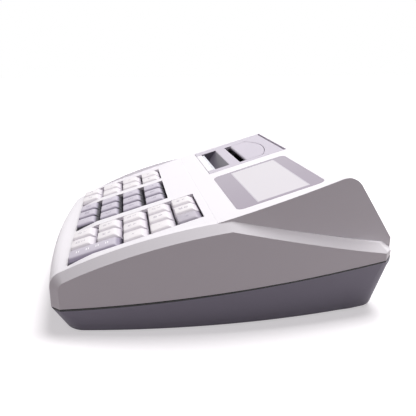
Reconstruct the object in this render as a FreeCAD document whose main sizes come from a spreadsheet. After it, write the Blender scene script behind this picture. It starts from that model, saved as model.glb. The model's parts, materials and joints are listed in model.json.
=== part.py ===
import FreeCAD, Part
import math
import os
import re
import Sketcher

# Ticket register: a dark base tray, a pale top housing with a sloping keypad deck, a display
# window, and a hinged paper cover over a clamshell printer.
# Frame: X to the operator's right, Y to the rear, Z up, origin under the middle of the machine.
# Deck frame: origin at the front edge of the keypad, X as above, Y up the slope, Z out of it.

SIZES = {
    # Whole body
    "register_length": 211.6,
    "widest_half": 102.4,
    "widest_at": 24.6,
    "side_radius": 494.5,
    "parting_height": 27.7,
    "parting_slope": 6.1,
    "parting_gap": 0.4,
    "fit_gap": 0.3,
    "slide_gap": 0.4,
    # Top housing
    "housing_wall": 2.4,
    "crest_radius": 300,
    "ridge_y": 1.1,
    "ridge_height": 70.9,
    "ridge_angle": 7.3,
    "nose_radius": 12,
    "ledge_end_height": 47.2,
    "rim_chamfer_width": 4.5,
    "rim_chamfer_drop": 5.2,
    "rear_corner": 6.5,
    "block_half": 97.7,
    "block_widest_at": 16.2,
    "block_side_radius": 390,
    "block_front_y": -7,
    "block_corner_y": 77.7,
    "block_top_radius": 12,
    "block_foot_height": 50.2,
    # Deck
    "deck_front_y": -96,
    "deck_front_height": 44,
    "deck_angle": 16.2,
    "rim_width": 2,
    # Keys
    "key_pitch": 17.5,
    "key_gap": 0.8,
    "key_height": 2.8,
    "key_skirt": 3.5,
    "key_side_inset": 1,
    "key_front_inset": 1.3,
    "key_rear_inset": 4.3,
    "key_edge": 0.5,
    "key_wall": 1.1,
    "key_roof": 1.4,
    "key_travel": 2.5,
    "stem_width": 4.6,
    "stem_reach": 9.5,
    "right_block_left": 26.2,
    "middle_block_left": -35.2,
    "left_block_left": -78.9,
    # Keyboard stack under the deck
    "guide_plate_depth": 6.2,
    "guide_plate_thickness": 2,
    "plate_corner": 12,
    "keyboard_half_width": 85,
    "keyboard_front": -2,
    "keyboard_back": 92,
    "dome_mat_depth": 12.3,
    "dome_mat_thickness": 1,
    "board_thickness": 1.6,
    "keyboard_post_radius": 3,
    "case_post_radius": 3.5,
    "front_post_y": -88,
    "middle_post_y": -28,
    "rear_post_x": 88,
    "rear_post_y": 84,
    "screw_radius": 1.4,
    "screw_head_radius": 2.8,
    "screw_head_thickness": 1.8,
    # Base tray
    "tray_wall": 2.4,
    "foot_lift": 1.4,
    "tray_front": 97.6,
    "tray_back": 89.5,
    "tray_half": 93.1,
    "tray_widest_at": 3,
    "tray_side_radius": 539,
    "tray_side_draft": 18.3,
    "tray_front_draft": 29.7,
    "tray_rear_draft": 26.5,
    "tray_loft_top": 44,
    "tray_corner": 10,
    "foot_radius": 6,
    "foot_inset_x": 74,
    "foot_front_y": -84,
    "foot_back_y": 76,
    "foot_seat_depth": 0.8,
    "tray_post_radius": 5,
    "counterbore_radius": 3.2,
    "screw_grip": 10,
    "screw_clearance": 0.15,
    "screw_bite": 8,
    "board_height": 10,
    "board_post_radius": 3,
    "board_half_width": 62,
    "board_front": -21,
    "board_back": 25,
    "processor_left": -20,
    "processor_width": 20,
    "processor_height": 3,
    "memory_left": 10,
    "memory_width": 14,
    "memory_height": 2.6,
    "connector_left": -24,
    "connector_width": 40,
    "connector_height": 6,
    "battery_left": 8,
    "battery_right": 74,
    "battery_front": 30,
    "battery_back": 68,
    "battery_height": 18,
    # Display
    "window_left": 5,
    "window_right": 88,
    "window_front": 107,
    "window_back": 163.8,
    "window_thickness": 1.2,
    "window_corner": 5,
    "window_shelf_side": 3,
    "window_shelf_end": 6,
    "lcd_thickness": 3.2,
    # Paper cover
    "cover_left": -90.3,
    "cover_right": -9.1,
    "cover_front": 107.1,
    "cover_back": 169,
    "cover_thickness": 2.4,
    "cover_gap": 0.4,
    "cover_rear_gap": 2.2,
    "cover_rear_chamfer": 1.2,
    "hinge_back": 1.4,
    "hinge_depth": 3.2,
    "hinge_pin_radius": 1,
    "hinge_running_gap": 0.05,
    "hinge_knuckle_radius": 2.6,
    "hinge_knuckle_length": 8,
    "recess_left": -79.5,
    "recess_right": -17,
    "recess_front": 111.6,
    "recess_back": 125.4,
    "slot_back": 116.4,
    "slot_depth": 8.2,
    "recess_wall": 2,
    "platen_at": 121.2,
    "platen_depth": 15.8,
    "platen_radius": 5,
    "platen_shaft_radius": 2,
    "finger_slot_front": 133.5,
    "flap_front": 138.7,
    "flap_side_back": 153.1,
    "flap_bulge_radius": 68.6,
    "flap_left": -77,
    "flap_right": -15.4,
    "flap_thickness": 2,
    "flap_hinge_at": 148,
    "flap_hinge_depth": 2.6,
    "flap_pin_radius": 1.2,
    # Printer and paper bin under the cover
    "tear_bar_front": 112,
    "tear_bar_thickness": 1.7,
    "tear_bar_top": 0.7,
    "tear_tooth_pitch": 2,
    "tear_tooth_depth": 1,
    "frame_front": 108,
    "frame_sheet": 1.5,
    "frame_tab_front": 96,
    "frame_tab_back": 106,
    "frame_tab_thickness": 2,
    "frame_tab_drop": 4,
    "frame_floor_depth": 44,
    "frame_floor_back": 128,
    "cheek_top": 22,
    "paper_gap": 0.2,
    "head_top": 16.6,
    "head_height": 8.4,
    "motor_at": 118,
    "motor_depth": 36,
    "motor_radius": 7.5,
    "motor_length": 14,
    "motor_inset": 16,
    "motor_shaft_radius": 1.2,
    "flange_reach": 8,
    "flange_top": 28.6,
    "flange_thickness": 1,
    "roll_at": 152,
    "roll_depth": 28,
    "bin_inner_radius": 23.5,
    "bin_wall": 2,
    "bin_left": -77.5,
    "bin_right": -18.5,
}

doc = FreeCAD.newDocument("ticket_register")
sheet = doc.addObject("Spreadsheet::Sheet", "sizes")
for row, (alias, value) in enumerate(SIZES.items(), 1):
    sheet.set("A%d" % row, alias)
    sheet.set("B%d" % row, str(value))
    sheet.setAlias("B%d" % row, alias)
doc.recompute()


def sized(expression):
    """The expression with each named size pointing at its cell."""
    return re.sub(r"[a-z][a-z_]*", lambda m: "sizes." + m[0] if m[0] in SIZES else m[0], str(expression))


def number(expression):
    """What an expression over the named sizes comes to."""
    return float(sheet.evalExpression(sized(expression)))


def bind(thing, **expressions):
    """Tie properties to expressions; a double underscore stands for a dot."""
    for name, expression in expressions.items():
        thing.setExpression(name.replace("__", "."), sized(expression))


def new_body(label):
    """An empty body that carries its node's name."""
    body = doc.addObject("PartDesign::Body", label)
    body.Label = label
    return body


def in_deck_frame(thing, prefix="Placement", lift="0"):
    """Tilt and lift a placement into the deck frame, `lift` out of the deck."""
    thing.setExpression(prefix + ".Rotation.Axis.x", "1")
    thing.setExpression(prefix + ".Rotation.Axis.z", "0")
    thing.setExpression(prefix + ".Rotation.Angle", sized("deck_angle"))
    thing.setExpression(prefix + ".Base.y", sized("deck_front_y - (%s) * sin(deck_angle)" % lift))
    thing.setExpression(prefix + ".Base.z", sized("deck_front_height + (%s) * cos(deck_angle)" % lift))


def new_sketch(body, name, plane="XY_Plane", height="0", tilted=False):
    """A sketch on one of the body's own origin planes, or in the deck frame."""
    sketch = body.newObject("Sketcher::SketchObject", name)
    origin_planes = {f.Role: f for f in body.Origin.OriginFeatures}
    sketch.AttachmentSupport = [(origin_planes[plane], "")]
    sketch.MapMode = "FlatFace"
    if tilted and plane == "YZ_Plane":
        bind(sketch, AttachmentOffset__Base__x="deck_front_y",
             AttachmentOffset__Base__y="deck_front_height", AttachmentOffset__Rotation__Angle="deck_angle")
    elif tilted:
        in_deck_frame(sketch, "AttachmentOffset", height)
    elif height != "0":
        bind(sketch, AttachmentOffset__Base__z=height)
    return sketch


def pin_point(sketch, geometry, position, x, y):
    """Hold one vertex at two signed distances from the sketch's origin."""
    for kind, expression in (("DistanceX", x), ("DistanceY", y)):
        index = sketch.addConstraint(
            Sketcher.Constraint(kind, -1, 1, geometry, position, number(expression)))
        sketch.setExpression("Constraints[%d]" % index, sized(expression))


def outline(sketch, corners):
    """Close a loop through corners (x, y) or (x, y, radius): radius bends the side that follows.

    A positive radius bulges to the right of the way the loop runs, a negative one to the left.
    """
    ends = []
    for i, corner in enumerate(corners):
        start = FreeCAD.Vector(number(corner[0]), number(corner[1]), 0)
        after = corners[(i + 1) % len(corners)]
        stop = FreeCAD.Vector(number(after[0]), number(after[1]), 0)
        if len(corner) == 2:
            index = sketch.addGeometry(Part.LineSegment(start, stop))
            ends.append((index, 1, 2))
            continue
        radius = number(corner[2])
        chord = stop - start
        half = chord.Length / 2
        sagitta = abs(radius) - math.sqrt(radius * radius - half * half)
        side = FreeCAD.Vector(chord.y, -chord.x, 0).normalize() * math.copysign(sagitta, radius)
        middle = (start + stop) * 0.5 + side
        if radius > 0:
            index = sketch.addGeometry(Part.Arc(start, middle, stop))
            ends.append((index, 1, 2))
        else:
            index = sketch.addGeometry(Part.Arc(stop, middle, start))
            ends.append((index, 2, 1))
    for i, (index, _, stop) in enumerate(ends):
        following, start, _ = ends[(i + 1) % len(ends)]
        sketch.addConstraint(Sketcher.Constraint("Coincident", index, stop, following, start))
    for corner, (index, start, _) in zip(corners, ends):
        pin_point(sketch, index, start, corner[0], corner[1])
        if len(corner) == 3:
            held = sketch.addConstraint(
                Sketcher.Constraint("Radius", index, abs(number(corner[2]))))
            sketch.setExpression("Constraints[%d]" % held, sized("abs(%s)" % corner[2]))


def rectangle(sketch, left, right, front, back):
    """A rectangle between two x and two y values."""
    outline(sketch, [(left, front), (right, front), (right, back), (left, back)])


def circle(sketch, x, y, radius):
    """A circle held by its centre and radius."""
    index = sketch.addGeometry(Part.Circle(FreeCAD.Vector(number(x), number(y), 0),
                                           FreeCAD.Vector(0, 0, 1), number(radius)))
    pin_point(sketch, index, 3, x, y)
    held = sketch.addConstraint(Sketcher.Constraint("Radius", index, number(radius)))
    sketch.setExpression("Constraints[%d]" % held, sized(radius))


def pad(body, sketch, length, symmetric=False, down=False):
    """Raise a sketch."""
    feature = body.newObject("PartDesign::Pad", sketch.Name + "_pad")
    feature.Profile = sketch
    if symmetric:
        feature.SideType = "Symmetric"
    feature.Reversed = down
    bind(feature, Length=length)
    doc.recompute()
    return feature


def pocket(body, sketch, depth=None, up=False):
    """Cut a sketch downwards, or upwards; with no depth it cuts everything both ways."""
    before = body.Shape.Volume
    feature = body.newObject("PartDesign::Pocket", sketch.Name + "_pocket")
    feature.Profile = sketch
    if depth is None:
        feature.Type = "ThroughAll"
        feature.SideType = "Symmetric"
    else:
        feature.Reversed = up
        bind(feature, Length=depth)
    doc.recompute()
    if body.Shape.Volume > before - 1e-6:
        raise RuntimeError("%s cuts nothing" % feature.Name)
    return feature


def edges_near(body, test):
    """Names of the edges of the body whose middle and direction pass a test."""
    names = []
    for i, edge in enumerate(body.Tip.Shape.Edges, 1):
        middle = edge.valueAt((edge.FirstParameter + edge.LastParameter) / 2)
        along = edge.tangentAt((edge.FirstParameter + edge.LastParameter) / 2)
        if test(middle, along):
            names.append("Edge%d" % i)
    return names


def dress(body, kind, name, test, **sizes):
    """Fillet or chamfer the edges that pass a test."""
    dressed = body.Tip
    edges = edges_near(body, test)
    feature = body.newObject("PartDesign::" + kind, name)
    feature.Base = (dressed, edges)
    if "Size2" in sizes:
        feature.ChamferType = "Two distances"
    bind(feature, **sizes)
    doc.recompute()
    return feature


HALF_LENGTH = "register_length / 2"
CREST_Y = "(ridge_y + crest_radius * sin(ridge_angle))"
CREST_Z = "(ridge_height - crest_radius * cos(ridge_angle))"


def side_at(y, half, widest_at, radius):
    """Half width of a bowed side at a distance along the machine."""
    return "(%s) - (%s) + sqrt((%s)^2 - ((%s) - (%s))^2)" % (half, radius, radius, y, widest_at)


def crest_at(y, inset):
    """Height of the bowed crest over a point of the machine's length."""
    return "%s + sqrt((crest_radius - %s)^2 - ((%s) - %s)^2)" % (CREST_Z, inset, y, CREST_Y)


def deck_at(y, drop="0"):
    """Height of the deck, or of a plane `drop` below it."""
    return ("deck_front_height + ((%s) - deck_front_y) * tan(deck_angle) - (%s) / cos(deck_angle)"
            % (y, drop))


def parting_at(y, lift="0"):
    """Height of the parting plane between tray and housing."""
    return "parting_height + (%s) * tan(parting_slope) + (%s)" % (y, lift)


def bowed_plan(sketch, front, back, half, widest_at, radius, corner=None):
    """A plan outline with a straight front and back, two bowed sides and, if asked, round corners."""
    at_front = side_at(front, half, widest_at, radius)
    at_back = side_at(back, half, widest_at, radius)
    if corner is None:
        outline(sketch, [("-(%s)" % at_front, front), (at_front, front, radius),
                         (at_back, back), ("-(%s)" % at_back, back, radius)])
        return
    bend = "1.2 * (%s)" % corner
    side_front = "%s + (%s)" % (front, corner)
    side_back = "%s - (%s)" % (back, corner)
    right_front = side_at(side_front, half, widest_at, radius)
    right_back = side_at(side_back, half, widest_at, radius)
    outline(sketch, [("-(%s - (%s))" % (at_front, corner), front),
                     ("%s - (%s)" % (at_front, corner), front, bend),
                     (right_front, side_front, radius),
                     (right_back, side_back, bend),
                     ("%s - (%s)" % (at_back, corner), back),
                     ("-(%s - (%s))" % (at_back, corner), back, bend),
                     ("-(%s)" % right_back, side_back, radius),
                     ("-(%s)" % right_front, side_front, bend)])


def housing_form(label, inset):
    """The top housing's outer form, or the hollow inside it, `inset` smaller all round."""
    body = new_body(label)
    half = "%s - %s" % (HALF_LENGTH, inset)
    rear = number(half)
    beyond = "register_length"
    above = "3 * ridge_height"

    plan = new_sketch(body, label + "_plan")
    bowed_plan(plan, "-(%s)" % half, half, "widest_half - %s" % inset, "widest_at",
               "side_radius - %s" % inset)
    pad(body, plan, "2 * ridge_height")
    dress(body, "Chamfer", label + "_rear_corners",
          lambda m, a: abs(a.z) > 0.9 and m.y > rear - 1, Size="rear_corner")

    crest = new_sketch(body, label + "_crest", "YZ_Plane")
    front_height = crest_at("-(%s)" % half, inset)
    rear_height = "ledge_end_height - %s" % inset
    outline(crest, [("-(%s)" % half, front_height, "-(crest_radius - %s)" % inset),
                    ("ridge_y", crest_at("ridge_y", inset)),
                    (half, rear_height), (beyond, rear_height), (beyond, above),
                    ("-" + beyond, above), ("-" + beyond, front_height)])
    pocket(body, crest)
    nose_height = number(front_height)
    dress(body, "Fillet", label + "_nose",
          lambda m, a: abs(a.x) > 0.99 and abs(m.z - nose_height) < 0.5 and m.y < 0,
          Radius="nose_radius - %s" % inset)
    for side, name in ((1, "_right_rim"), (-1, "_left_rim")):
        rim = dress(body, "Chamfer", label + name,
                    lambda m, a: m.x * side > 80 and m.z > 1 and m.y < rear - 3
                    and not (abs(a.z) > 0.9 and m.y > 0),
                    Size="rim_chamfer_width", Size2="rim_chamfer_drop")
        rim.FlipDirection = side > 0
        doc.recompute()

    block = new_sketch(body, label + "_block", height="ledge_end_height - rim_chamfer_drop")
    bowed_plan(block, "block_front_y", half, "block_half - %s" % inset, "block_widest_at",
               "block_side_radius - %s" % inset)
    pad(body, block, "ridge_height")
    slope_top = deck_at("block_corner_y", "0")
    slope_angle = "atan((%s - block_foot_height) / (%s - block_corner_y))" % (slope_top, HALF_LENGTH)
    slope_drop = "(%s / cos(%s))" % (inset, slope_angle)
    top = new_sketch(body, label + "_block_top", "YZ_Plane")
    slope_at_back = "block_foot_height - %s" % slope_drop
    deck_corner = ("(block_corner_y - (%s - (%s)) / (tan(%s) + tan(deck_angle)))"
                   % (slope_drop, inset + " / cos(deck_angle)", slope_angle))
    outline(top, [("block_front_y - 1", deck_at("block_front_y - 1", inset)),
                  (deck_corner, deck_at(deck_corner, inset)),
                  (HALF_LENGTH, slope_at_back), (beyond, slope_at_back), (beyond, above),
                  ("block_front_y - 1", above)])
    pocket(body, top)
    crown = number(deck_at(deck_corner, inset))
    dress(body, "Fillet", label + "_block_crown",
          lambda m, a: abs(a.x) > 0.99 and abs(m.z - crown) < 0.2,
          Radius="block_top_radius - %s" % inset)

    field = new_sketch(body, label + "_deck_field", height="-(%s)" % inset, tilted=True)
    bowed_plan(field, "-key_pitch", "(block_front_y + 2 - deck_front_y) / cos(deck_angle)",
               "widest_half - rim_chamfer_width - rim_width + %s" % inset,
               "(widest_at - deck_front_y) / cos(deck_angle)", "side_radius")
    pocket(body, field, "2 * nose_radius", up=True)

    below = new_sketch(body, label + "_parting", "YZ_Plane")
    lift = "parting_gap / 2" if inset == "0" else "-parting_gap"
    outline(below, [("-" + beyond, parting_at("-" + beyond, lift)), (beyond, parting_at(beyond, lift)),
                    (beyond, "-" + above), ("-" + beyond, "-" + above)])
    pocket(body, below)
    return body


HINGE_AT = "(cover_back - hinge_back)"
HEAD_FACE = "(platen_at - platen_radius - paper_gap)"
BAY = ("cover_left - cover_gap", "cover_right + cover_gap",
       "cover_front - cover_gap", "cover_back + cover_rear_gap")
BLOCKS = (("right_block_left", 3, 5), ("middle_block_left", 3, 4), ("left_block_left", 2, 4))
RIB_MIDDLES = ("(middle_block_left + 3 * key_pitch + right_block_left) / 2",
               "(left_block_left + 2 * key_pitch + middle_block_left) / 2")
CASE_POSTS = [(x, y) for y in ("front_post_y", "middle_post_y") for x in RIB_MIDDLES]
CASE_POSTS += [("rear_post_x", "rear_post_y"), ("-rear_post_x", "rear_post_y")]
KEYBOARD_POSTS = [(x, row) for x in RIB_MIDDLES for row in ("1.6 * key_pitch", "3.2 * key_pitch")]
FEET = [(x, y) for x in ("foot_inset_x", "-foot_inset_x") for y in ("foot_front_y", "foot_back_y")]


def housing_openings(body):
    """Cut the key fields, the window's seat and the bay for the paper cover through the top."""
    for i, (left, columns, rows) in enumerate(BLOCKS, 1):
        field = new_sketch(body, "key_field_%d" % i, height="nose_radius", tilted=True)
        rectangle(field, left, "%s + %d * key_pitch" % (left, columns), "0", "%d * key_pitch" % rows)
        pocket(body, field, "2 * nose_radius")
    seat = new_sketch(body, "window_seat", height="key_pitch", tilted=True)
    rectangle(seat, "window_left - cover_gap / 4", "window_right + cover_gap / 4",
              "window_front - cover_gap / 4", "window_back + cover_gap / 4")
    pocket(body, seat, "key_pitch + window_thickness")
    dress(body, "Fillet", "window_seat_corners",
          lambda m, a: abs(a.z) > 0.9 and abs(a.y) > 0.2 and 0 < m.x < number("window_right") + 1
          and m.z > number("ridge_height"),
          Radius="window_corner")
    glass = new_sketch(body, "display_opening", tilted=True)
    rectangle(glass, "window_left + window_shelf_side", "window_right - window_shelf_side",
              "window_front + window_shelf_end", "window_back - window_shelf_end")
    pocket(body, glass, "housing_wall + 1")
    bay = new_sketch(body, "cover_bay", height="key_pitch", tilted=True)
    rectangle(bay, *BAY)
    pocket(body, bay, "key_pitch + housing_wall + 2 * hinge_depth")
    for i, (x, y) in enumerate(CASE_POSTS, 1):
        bite = new_sketch(body, "case_screw_bite_%d" % i)
        circle(bite, x, y, "screw_radius + hinge_running_gap")
        pocket(body, bite, parting_at(y, "screw_bite + 1"), up=True)
    bites = new_sketch(body, "keyboard_screw_bites", height="-guide_plate_depth", tilted=True)
    for x, along in KEYBOARD_POSTS:
        circle(bites, x, along, "screw_radius + hinge_running_gap")
    pocket(body, bites, "guide_plate_depth - housing_wall", up=True)
    pin = new_sketch(body, "hinge_pin_bore", "YZ_Plane", tilted=True)
    circle(pin, HINGE_AT, "-hinge_depth", "hinge_pin_radius")
    bore = body.newObject("PartDesign::Pocket", "hinge_pin_bore_pocket")
    bore.Profile = pin
    bore.SideType = "Symmetric"
    bind(bore, Length="2 * (cover_gap + fit_gap * 5 - cover_left)")
    doc.recompute()


def housing_posts(body):
    """Leave the case posts, the keyboard posts and the hinge lugs standing in the hollow."""
    posts = new_sketch(body, "case_posts")
    for x, y in CASE_POSTS:
        circle(posts, x, y, "case_post_radius")
    pocket(body, posts)
    small = new_sketch(body, "keyboard_posts", height="-guide_plate_depth", tilted=True)
    for x, y in KEYBOARD_POSTS:
        circle(small, x, y, "keyboard_post_radius")
    pocket(body, small, "guide_plate_depth", up=True)
    lugs = new_sketch(body, "hinge_lugs", height="-(hinge_depth + hinge_knuckle_radius)", tilted=True)
    lug_front = HINGE_AT + " - hinge_knuckle_radius"
    lug_back = HINGE_AT + " + hinge_knuckle_radius"
    rectangle(lugs, "-widest_half", "cover_left - cover_gap", lug_front, lug_back)
    rectangle(lugs, "cover_right + cover_gap", "cover_right + cover_gap + housing_wall",
              lug_front, lug_back)
    pocket(body, lugs, "hinge_depth + hinge_knuckle_radius", up=True)


def shell(label, outside, hollow):
    """A wall left between an outer form and the hollow inside it."""
    cut = doc.addObject("Part::Cut", label)
    cut.Label = label
    cut.Base = outside
    cut.Tool = hollow
    doc.recompute()
    return cut


def tray_edge(base, height, draft, inset):
    """Where one drafted side of the tray stands at a height above the floor line."""
    return "(%s) + (%s) * tan(%s) - (%s) / cos(%s)" % (base, height, draft, inset, draft)


def tray_form(label, inset):
    """The base tray's outer form, or the hollow inside it, `inset` smaller all round."""
    body = new_body(label)
    levels = []
    for name, rise in (("_foot", inset), ("_brim", "tray_loft_top - foot_lift")):
        level = new_sketch(body, label + name, height="foot_lift + %s" % rise)
        half = tray_edge("tray_half", rise, "tray_side_draft", inset)
        bowed_plan(level, "-(%s)" % tray_edge("tray_front", rise, "tray_front_draft", inset),
                   tray_edge("tray_back", rise, "tray_rear_draft", inset), half, "tray_widest_at",
                   "tray_side_radius - tray_half + %s" % half, "tray_corner - (%s)" % inset)
        levels.append(level)
    loft = body.newObject("PartDesign::AdditiveLoft", label + "_loft")
    loft.Profile = levels[0]
    loft.Sections = levels[1:]
    loft.Ruled = True
    doc.recompute()

    trim = new_sketch(body, label + "_trim")
    front = "-(%s - %s)" % (HALF_LENGTH, inset)
    back = "%s - %s" % (HALF_LENGTH, inset)
    bow = ("widest_half - %s" % inset, "widest_at", "side_radius - %s" % inset)
    corner_front = "%s + rim_chamfer_drop" % front
    corner_back = "%s - rear_corner" % back
    across = [(side_at(front, *bow) + " - rim_chamfer_width", front),
              (side_at(corner_front, *bow), corner_front, bow[2]),
              (side_at(corner_back, *bow), corner_back),
              (side_at(back, *bow) + " - rear_corner", back)]
    mirrored = [("-(%s)" % corner[0],) + corner[1:2] for corner in reversed(across)]
    mirrored[1] = mirrored[1] + (bow[2],)
    outline(trim, across + mirrored)
    rectangle(trim, "-register_length", "register_length", "-register_length", "register_length")
    pocket(body, trim)

    above = new_sketch(body, label + "_parting", "YZ_Plane")
    beyond = "register_length"
    lift = "-parting_gap / 2" if inset == "0" else "parting_gap"
    outline(above, [("-" + beyond, parting_at("-" + beyond, lift)), (beyond, parting_at(beyond, lift)),
                    (beyond, "3 * ridge_height"), ("-" + beyond, "3 * ridge_height")])
    pocket(body, above)
    return body


def tray_openings(body):
    """Seats for the rubber feet, screw wells from below, and the sockets' openings at the rear."""
    seats = new_sketch(body, "foot_seats")
    for x, y in FEET:
        circle(seats, x, y, "foot_radius")
    pocket(body, seats, "foot_lift + foot_seat_depth", up=True)
    for i, (x, y) in enumerate(CASE_POSTS, 1):
        well = new_sketch(body, "screw_well_%d" % i)
        circle(well, x, y, "counterbore_radius")
        pocket(body, well, parting_at(y, "-screw_grip"), up=True)
        bore = new_sketch(body, "screw_bore_%d" % i)
        circle(bore, x, y, "screw_radius + screw_clearance")
        pocket(body, bore, parting_at(y, "1"), up=True)


def tray_posts(body):
    """Leave the case posts and the short board posts standing in the tray."""
    posts = new_sketch(body, "tray_case_posts")
    for x, y in CASE_POSTS:
        circle(posts, x, y, "tray_post_radius")
    pocket(body, posts)
    short = new_sketch(body, "board_posts", height="board_height")
    for x in ("-board_half_width + 6", "board_half_width - 6"):
        for y in ("board_front + 6", "board_back - 6"):
            circle(short, x, y, "board_post_radius")
    pocket(body, short, "board_height")


def seat_in_deck(thing, x="0", along="0", out="0"):
    """Place a piece in the deck frame: x across, `along` up the slope, `out` of the deck."""
    bind(thing, Placement__Rotation__Axis__x="1", Placement__Rotation__Axis__z="0",
         Placement__Rotation__Angle="deck_angle", Placement__Base__x=x,
         Placement__Base__y="deck_front_y + (%s) * cos(deck_angle) - (%s) * sin(deck_angle)"
         % (along, out),
         Placement__Base__z="deck_front_height + (%s) * sin(deck_angle) + (%s) * cos(deck_angle)"
         % (along, out))


def deck_body(label, x="0", along="0", out="0"):
    """An empty body placed in the deck frame."""
    body = new_body(label)
    seat_in_deck(body, x, along, out)
    return body


def slab(body, name, box, bottom, thickness):
    """A rectangular plate (left, right, front, back) padded up from a height."""
    plate = new_sketch(body, name, height=bottom)
    rectangle(plate, *box)
    return pad(body, plate, thickness)


def drill(body, name, places, radius, start, depth, up=False):
    """Round holes at (x, y) places, cut down or up from a height."""
    holes = new_sketch(body, name, height=start)
    for x, y in places:
        circle(holes, x, y, radius)
    return pocket(body, holes, depth, up)


def profile(body, name, corners, left, right, cut=False):
    """A (y, z) profile padded or cut across the body from x = left to x = right."""
    sketch = new_sketch(body, name, "YZ_Plane", left)
    outline(sketch, corners)
    kind = "PartDesign::Pocket" if cut else "PartDesign::Pad"
    before = body.Shape.Volume if cut else 0
    feature = body.newObject(kind, name + ("_cut" if cut else "_pad"))
    feature.Profile = sketch
    feature.Reversed = cut
    bind(feature, Length="(%s) - (%s)" % (right, left))
    doc.recompute()
    if cut and body.Shape.Volume > before - 1e-6:
        raise RuntimeError("%s cuts nothing" % feature.Name)
    return feature


def rod(body, name, along, out, radius, left, right, cut=False):
    """A round bar, or bore, that lies along X."""
    sketch = new_sketch(body, name, "YZ_Plane", left)
    circle(sketch, along, out, radius)
    feature = body.newObject("PartDesign::Pocket" if cut else "PartDesign::Pad",
                             name + ("_cut" if cut else "_pad"))
    feature.Profile = sketch
    feature.Reversed = cut
    bind(feature, Length="(%s) - (%s)" % (right, left))
    doc.recompute()
    return feature


def keycap(label, left, row, rows_tall=1):
    """A keycap with a flat top, a long rear slope, a hollow underside and a square stem."""
    width = "key_pitch"
    depth = "%d * key_pitch" % rows_tall
    body = deck_body(label, "%s + key_pitch / 2" % left, "(%d + %d / 2) * key_pitch" % (row, rows_tall))
    half_x = "(%s - key_gap) / 2" % width
    half_y = "(%s - key_gap) / 2" % depth
    profile(body, label + "_cap",
            [("-" + half_y, "-key_skirt"), (half_y, "-key_skirt"),
             (half_y + " - key_rear_inset", "key_height"), ("-%s + key_front_inset" % half_y, "key_height")],
            "-" + half_x, half_x)
    sides = new_sketch(body, label + "_sides", "XZ_Plane")
    for sign in ("", "-"):
        outline(sides, [("%s(%s)" % (sign, half_x), "-key_skirt"),
                        ("%s(%s + key_gap)" % (sign, half_x), "-key_skirt"),
                        ("%s(%s + key_gap)" % (sign, half_x), "key_height"),
                        ("%s(%s - key_side_inset)" % (sign, half_x), "key_height")])
    pocket(body, sides)
    skirt = number("key_skirt")
    dress(body, "Chamfer", label + "_edges", lambda m, a: m.z > 0.1 - skirt, Size="key_edge")
    under = new_sketch(body, label + "_under", height="-key_skirt")
    rectangle(under, "-(%s - key_side_inset - key_wall)" % half_x, "%s - key_side_inset - key_wall" % half_x,
              "-(%s - key_front_inset - key_wall)" % half_y, "%s - key_rear_inset - key_wall" % half_y)
    pocket(body, under, "key_skirt + key_height - key_roof", up=True)
    stem = new_sketch(body, label + "_stem", height="-stem_reach")
    rectangle(stem, "-stem_width / 2", "stem_width / 2", "-stem_width / 2", "stem_width / 2")
    pad(body, stem, "stem_reach + key_height - key_roof / 2")
    return body


RIGHT_COLUMN = ("", "", "subtotal_key", "void_key", "paper_feed_key")
MIDDLE_NAMES = (("zero_key", "double_zero_key", "decimal_key"),
                ("number_key_1", "number_key_2", "number_key_3"),
                ("number_key_4", "number_key_5", "number_key_6"),
                ("number_key_7", "number_key_8", "number_key_9"))


def key_layout():
    """Every key as (name, left edge, row from the front, rows tall)."""
    layout = [("total_key", "right_block_left + 2 * key_pitch", 0, 2)]
    for row in range(5):
        for column in range(2):
            layout.append(("department_key_%d" % (row * 2 + column + 1),
                           "right_block_left + %d * key_pitch" % column, row, 1))
        if row > 1:
            layout.append((RIGHT_COLUMN[row], "right_block_left + 2 * key_pitch", row, 1))
    for row in range(4):
        for column in range(3):
            layout.append((MIDDLE_NAMES[row][column],
                           "middle_block_left + %d * key_pitch" % column, row, 1))
        for column in range(2):
            layout.append(("function_key_%d" % (row * 2 + column + 1),
                           "left_block_left + %d * key_pitch" % column, row, 1))
    return layout


KEYBOARD_BOX = ("-keyboard_half_width", "keyboard_half_width", "keyboard_front", "keyboard_back")
# The case posts in the deck frame: they stand upright, so they cross the stack on a slant.
POST_WINDOWS = [(x, "(%s - deck_front_y) / cos(deck_angle)" % y) for x, y in CASE_POSTS[:4]]


def post_windows(body, name, level, start):
    """Clearance slots where the upright case posts cross a sloping sheet at a level of the deck frame."""
    slots = new_sketch(body, name, height=start)
    for x, along in POST_WINDOWS:
        middle = "%s + (%s) * tan(deck_angle)" % (along, level)
        reach = "case_post_radius + 2 * fit_gap"
        rectangle(slots, "(%s) - (%s)" % (x, reach), "(%s) + (%s)" % (x, reach),
                  "%s - (%s) / cos(deck_angle) - fit_gap" % (middle, reach),
                  "%s + (%s) / cos(deck_angle) + fit_gap" % (middle, reach))
    return pocket(body, slots, "2 * board_thickness + dome_mat_thickness")


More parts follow.
